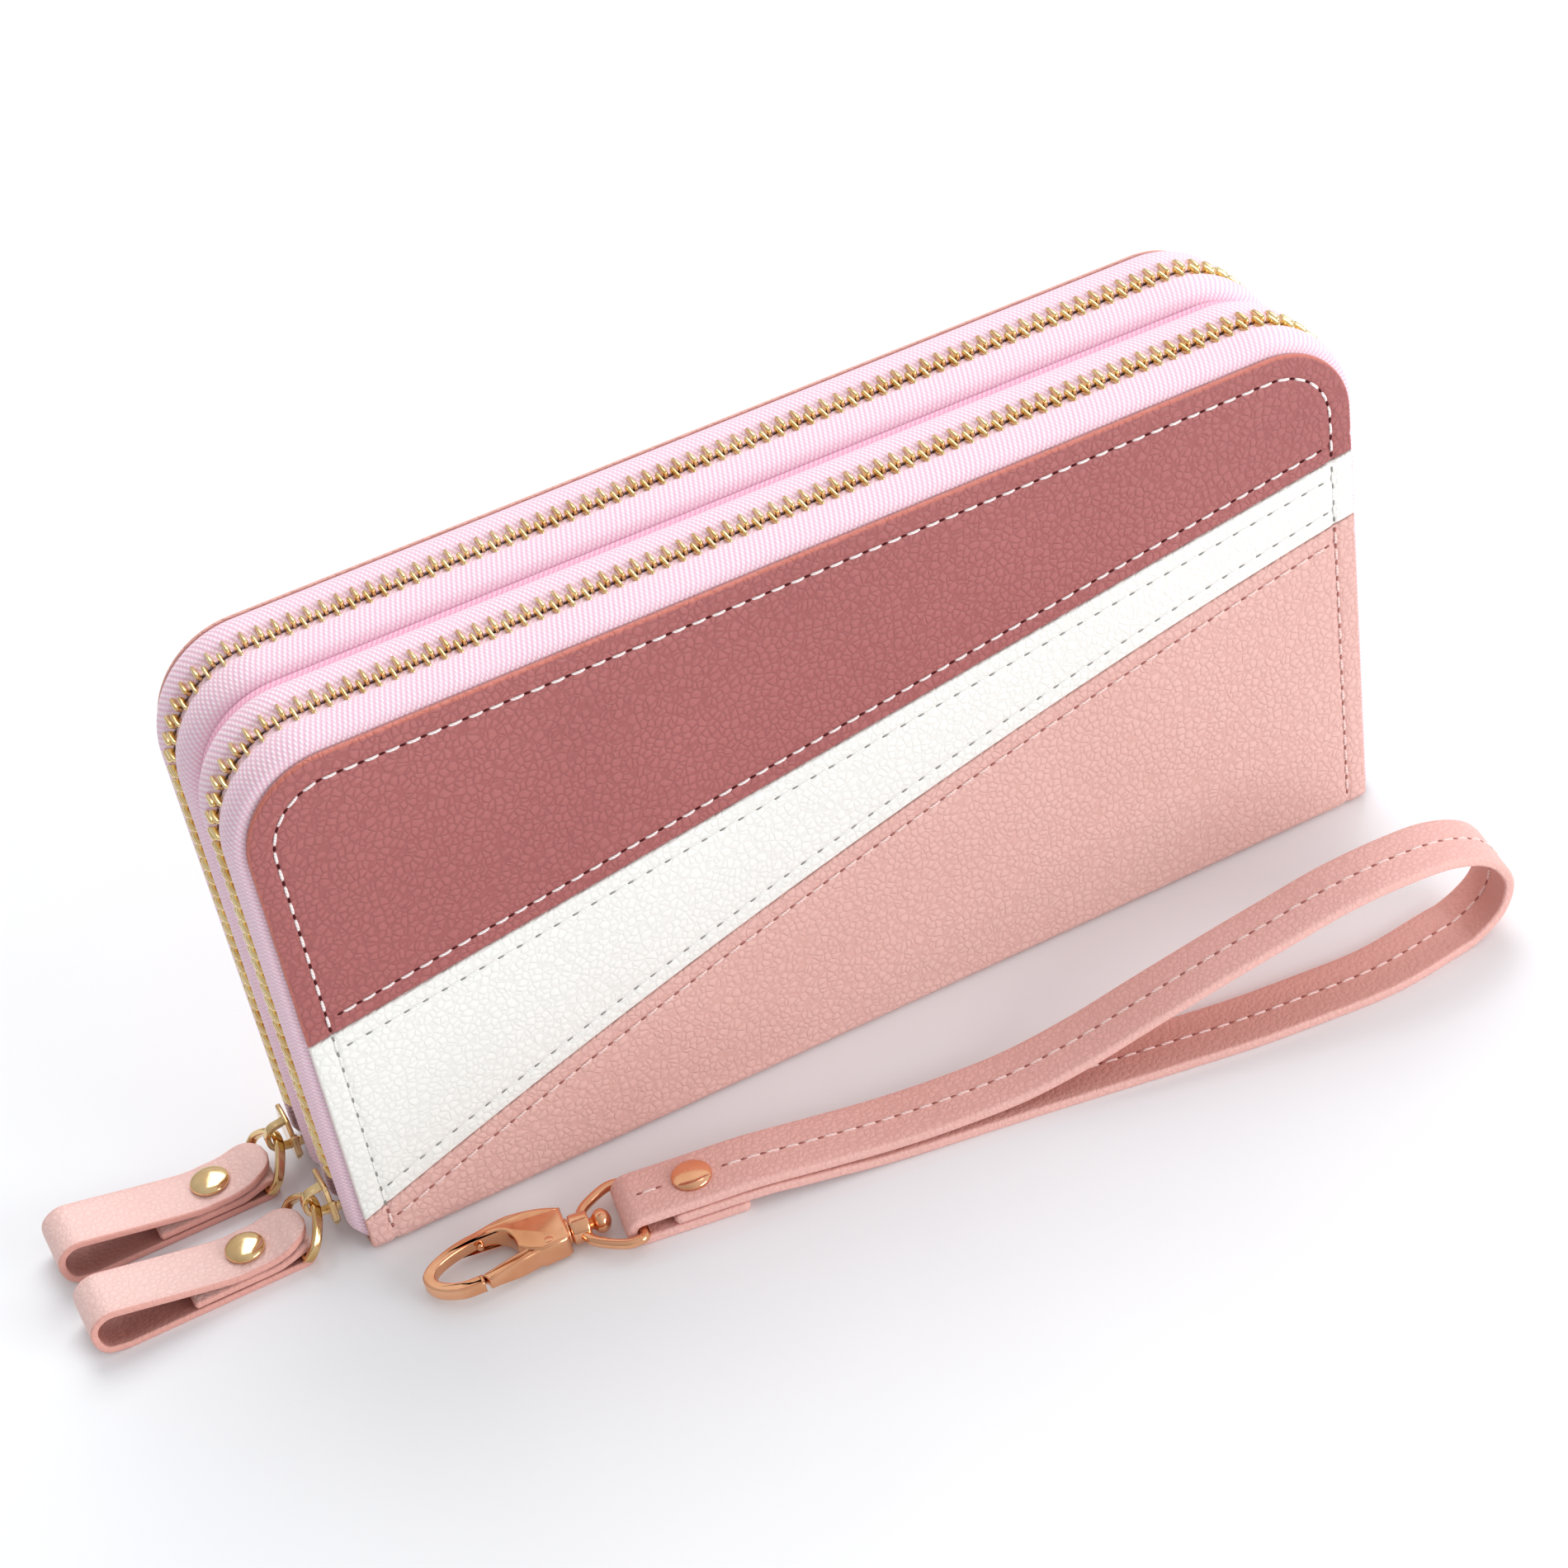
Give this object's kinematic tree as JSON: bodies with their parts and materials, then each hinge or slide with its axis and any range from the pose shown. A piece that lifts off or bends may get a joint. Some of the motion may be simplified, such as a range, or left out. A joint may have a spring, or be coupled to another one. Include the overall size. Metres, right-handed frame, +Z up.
{
  "type": "wristlet wallet",
  "caption": "Long double wallet with two zips round three sides, leather zip pulls, a patched front and a detachable wrist strap with a swivel clasp.",
  "frame": {"origin": "middle of the base, on the surface the wallet stands on", "axes": "+X along the length, away from the zip pulls; -Y the patched front; +Z up"},
  "size_m": [0.2515, 0.0933, 0.105],
  "materials": {
    "mauve_leather": "fine pebbled grain, semi-matt",
    "white_leather": "fine pebbled grain, semi-matt",
    "pink_leather": "fine pebbled grain, semi-matt",
    "strap_leather": "fine pebbled grain, semi-matt",
    "zip_tape": "woven twill",
    "lining": "woven lining",
    "board": "pressed fibre board",
    "gold_metal": "polished",
    "pale_gold": "polished",
    "rose_gold": "polished",
    "spring_steel": "drawn wire"
  },
  "bodies": {
    "wallet_core": {"base_spine": "pink_leather", "center_divider": "lining", "coin_pocket_panel": "lining", "coin_zip_tape": "zip_tape", "coin_zip_teeth": "gold_metal", "slip_pocket_panel": "lining", "front_inner_tape": "zip_tape", "front_inner_teeth": "gold_metal", "rear_inner_tape": "zip_tape", "rear_inner_teeth": "gold_metal"},
    "front_cover": {"front_board": "board", "front_lower_panel": "pink_leather", "front_middle_stripe": "white_leather", "front_upper_patch": "mauve_leather", "front_lining": "lining", "front_card_slot_1": "lining", "front_card_slot_2": "lining", "front_card_slot_3": "lining", "front_outer_tape": "zip_tape", "front_outer_teeth": "gold_metal"},
    "back_cover": {"back_board": "board", "back_panel": "pink_leather", "back_lining": "lining", "back_card_slot_1": "lining", "back_card_slot_2": "lining", "back_card_slot_3": "lining", "rear_outer_tape": "zip_tape", "rear_outer_teeth": "gold_metal"},
    "front_slider": {"front_slider": "pale_gold"},
    "rear_slider": {"rear_slider": "pale_gold"},
    "front_ring": {"front_pull_ring": "pale_gold"},
    "rear_ring": {"rear_pull_ring": "pale_gold"},
    "front_pull": {"front_pull_leather": "strap_leather", "front_pull_rivet": "gold_metal"},
    "rear_pull": {"rear_pull_leather": "strap_leather", "rear_pull_rivet": "gold_metal"},
    "coin_slider": {"coin_zip_slider": "pale_gold"},
    "strap": {"wrist_strap": "strap_leather", "strap_rivet": "gold_metal"},
    "strap_ring": {"clasp_ring": "rose_gold"},
    "clasp": {"clasp_hook": "rose_gold", "clasp_gate_pin": "rose_gold", "clasp_gate_spring": "spring_steel"},
    "gate": {"clasp_gate": "rose_gold"}
  },
  "joints": [
    {"name": "front_cover_open", "type": "hinge", "parent": "wallet_core", "child": "front_cover", "pos_m": [0, -0.019, 0], "axis": [1, 0, 0], "range_deg": [0, 50]},
    {"name": "back_cover_open", "type": "hinge", "parent": "wallet_core", "child": "back_cover", "pos_m": [0, 0.019, 0], "axis": [-1, 0, 0], "range_deg": [0, 50]},
    {"name": "front_zip_slide", "type": "slide", "parent": "wallet_core", "child": "front_slider", "axis": [0, -0.0172, 0.9999], "range_m": [0, 0.07]},
    {"name": "rear_zip_slide", "type": "slide", "parent": "wallet_core", "child": "rear_slider", "axis": [0, 0.0172, 0.9999], "range_m": [0, 0.07]},
    {"name": "front_ring_swing", "type": "hinge", "parent": "front_slider", "child": "front_ring", "pos_m": [-0.106, -0.00964, 0.008], "axis": [0, 1, 0], "range_deg": [0, 60]},
    {"name": "rear_ring_swing", "type": "hinge", "parent": "rear_slider", "child": "rear_ring", "pos_m": [-0.106, 0.00964, 0.008], "axis": [0, 1, 0], "range_deg": [0, 60]},
    {"name": "front_pull_swing", "type": "hinge", "parent": "front_ring", "child": "front_pull", "pos_m": [-0.11085, -0.00964, 0.00215], "axis": [0, 1, 0], "range_deg": [0, 30]},
    {"name": "rear_pull_swing", "type": "hinge", "parent": "rear_ring", "child": "rear_pull", "pos_m": [-0.11085, 0.00964, 0.00215], "axis": [0, 1, 0], "range_deg": [0, 30]},
    {"name": "coin_zip_slide", "type": "slide", "parent": "wallet_core", "child": "coin_slider", "axis": [1, 0, 0], "range_m": [0, 0.13]},
    {"name": "strap_lift", "type": "slide", "parent": "wallet_core", "child": "strap", "axis": [0, 0, 1], "range_m": [0, 0.12]},
    {"name": "strap_ring_tilt", "type": "hinge", "parent": "strap", "child": "strap_ring", "pos_m": [-0.05926, -0.03871, 0.00305], "axis": [0.1621, 0.9868, 0], "range_deg": [0, 70]},
    {"name": "clasp_swivel", "type": "hinge", "parent": "strap_ring", "child": "clasp", "pos_m": [-0.06893, -0.03712, 0.00305], "axis": [0.9868, -0.1621, 0], "continuous": true},
    {"name": "clasp_gate_open", "type": "hinge", "parent": "clasp", "child": "gate", "pos_m": [-0.07498, -0.03877, 0.00305], "axis": [0, 0, -1], "range_deg": [0, 20], "stiffness_Nm_per_rad": 0.01, "springref_deg": -17.19}
  ]
}
